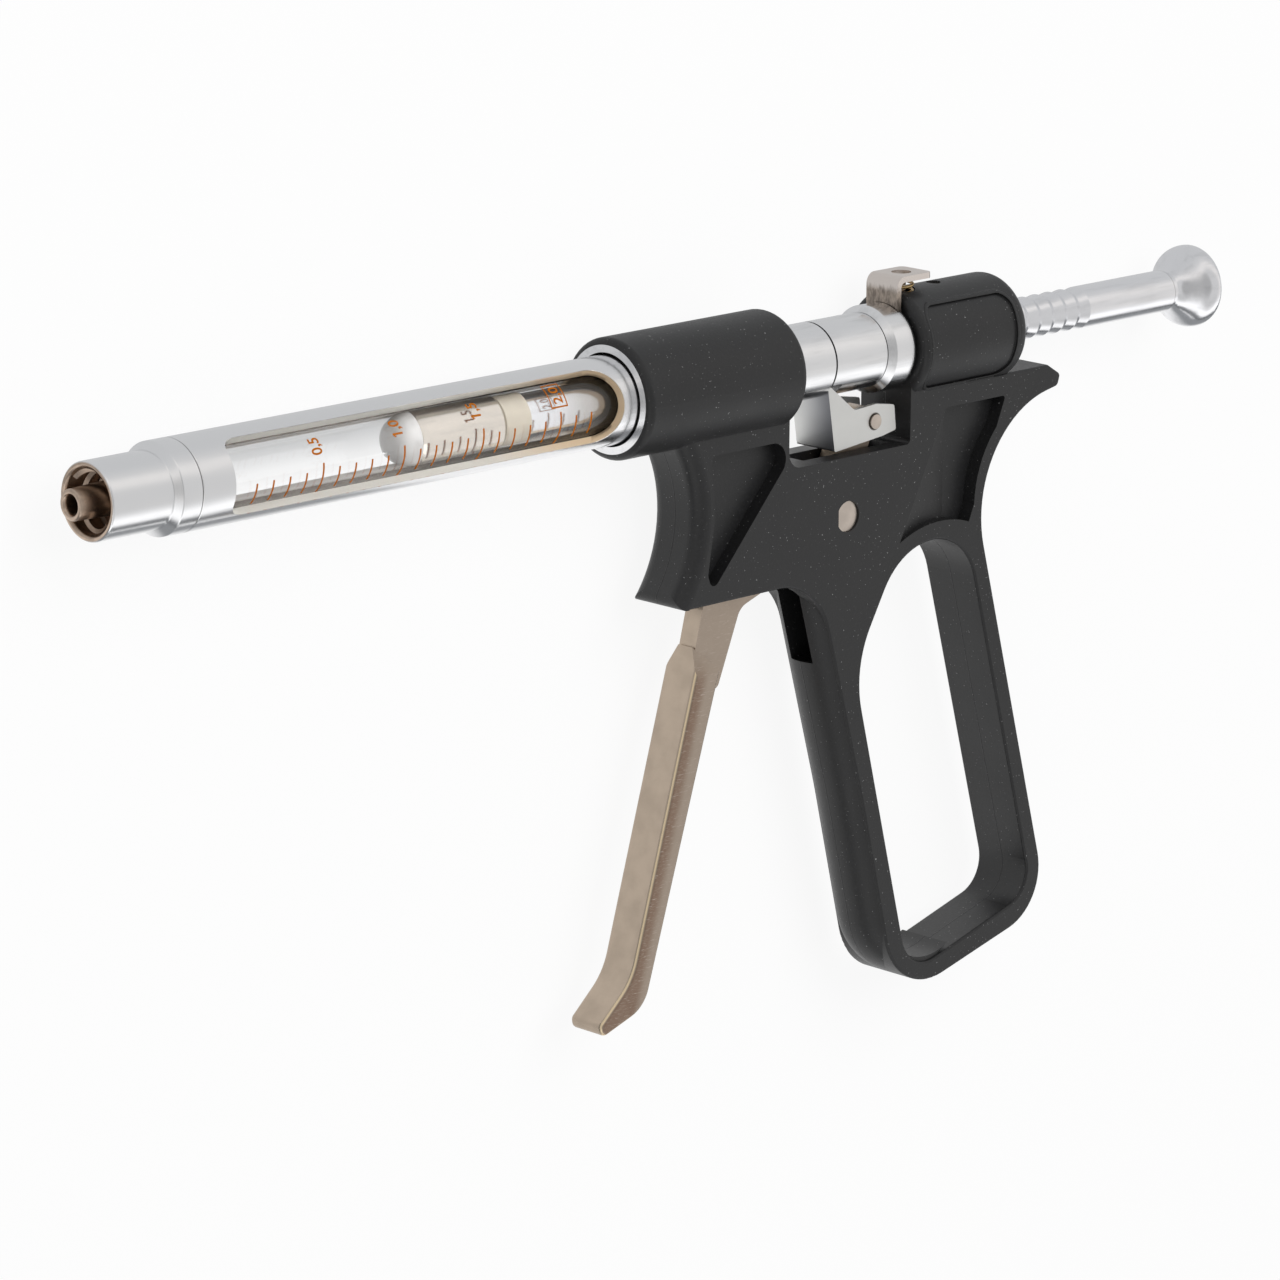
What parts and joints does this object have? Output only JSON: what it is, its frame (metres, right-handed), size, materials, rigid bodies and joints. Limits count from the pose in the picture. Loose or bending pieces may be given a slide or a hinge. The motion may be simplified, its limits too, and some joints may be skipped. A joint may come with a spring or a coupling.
{
  "type": "automatic syringe",
  "caption": "Pistol-grip dosing syringe: glass barrel in a windowed metal sleeve, notched piston rod, finger lever and a push-down latch",
  "frame": {"origin": "centre of the bounding box at its lowest level: the syringe lies on its right side", "axes": "+X along the barrel from the nozzle to the knob, +Y from the finger loop to the barrel, +Z out of the left side"},
  "size_m": [0.2072, 0.0998, 0.0162],
  "materials": {
    "chromed_metal": "satin chrome plate",
    "rod_steel": "satin chrome plate",
    "piston_metal": "fine turned",
    "cap_rubber": "smooth and slightly translucent",
    "seal_rubber": "smooth",
    "band_plastic": "waxy cream",
    "clear_glass": "clear with a printed scale",
    "grip_plastic": "fine moulded grain",
    "lever_nickel": "warm satin nickel plate",
    "yoke_steel": "satin",
    "latch_nickel": "satin nickel plate",
    "pin_steel": "turned",
    "spring_brass": "drawn wire",
    "spring_steel": "drawn wire"
  },
  "bodies": {
    "housing": {"luer_nozzle": "chromed_metal", "front_seal_washer": "seal_rubber", "barrel_sleeve": "chromed_metal", "glass_barrel": "clear_glass", "rear_seal_ring": "seal_rubber", "guide_bush": "chromed_metal", "grip_body": "grip_plastic", "front_liner": "chromed_metal", "rear_bush": "rod_steel", "bush_grub_screw": "pin_steel", "pivot_screw": "pin_steel", "latch_guide_pin": "pin_steel", "latch_spring": "spring_brass", "return_spring": "spring_steel"},
    "plunger": {"piston_cap": "cap_rubber", "piston_head": "piston_metal", "piston_guide_band": "band_plastic", "piston_rod": "rod_steel", "rod_knob": "rod_steel"},
    "carriage": {"carriage_core": "chromed_metal", "drive_pawl": "pin_steel", "pawl_hoop": "pin_steel", "carriage_cover": "chromed_metal", "carriage_front_ring": "chromed_metal"},
    "lever": {"trigger_lever": "lever_nickel", "yoke_pin": "pin_steel", "yoke_spring": "spring_steel"},
    "yoke": {"drive_yoke": "yoke_steel"},
    "latch": {"latch_plate": "latch_nickel"}
  },
  "joints": [
    {"name": "plunger_slide", "type": "slide", "parent": "housing", "child": "plunger", "axis": [1, 0, 0], "range_m": [-0.0267, 0.0273]},
    {"name": "lever_pivot", "type": "hinge", "parent": "housing", "child": "lever", "pos_m": [0.02705, 0.01896, 0.0081], "axis": [0, 0, 1], "range_deg": [0, 13], "stiffness_Nm_per_rad": 1.2, "springref_deg": -4.58},
    {"name": "carriage_slide", "type": "slide", "parent": "housing", "child": "carriage", "axis": [-1, 0, 0], "range_m": [0, 0.0034], "deforming": ["return_spring"]},
    {"name": "yoke_hinge", "type": "hinge", "parent": "lever", "child": "yoke", "pos_m": [0.03315, 0.03096, 0.0081], "axis": [0, 0, 1], "range_deg": [-7, 0]},
    {"name": "latch_slide", "type": "slide", "parent": "housing", "child": "latch", "axis": [0, -1, 0], "range_m": [0, 0.001], "stiffness_N_per_m": 1500, "springref_m": -0.0006, "deforming": ["latch_spring"]}
  ],
  "couplings": [
    {"joint": "carriage_slide", "follows": "lever_pivot", "m_per_rad": 0.01459},
    {"joint": "yoke_hinge", "follows": "lever_pivot", "ratio": -0.5}
  ]
}
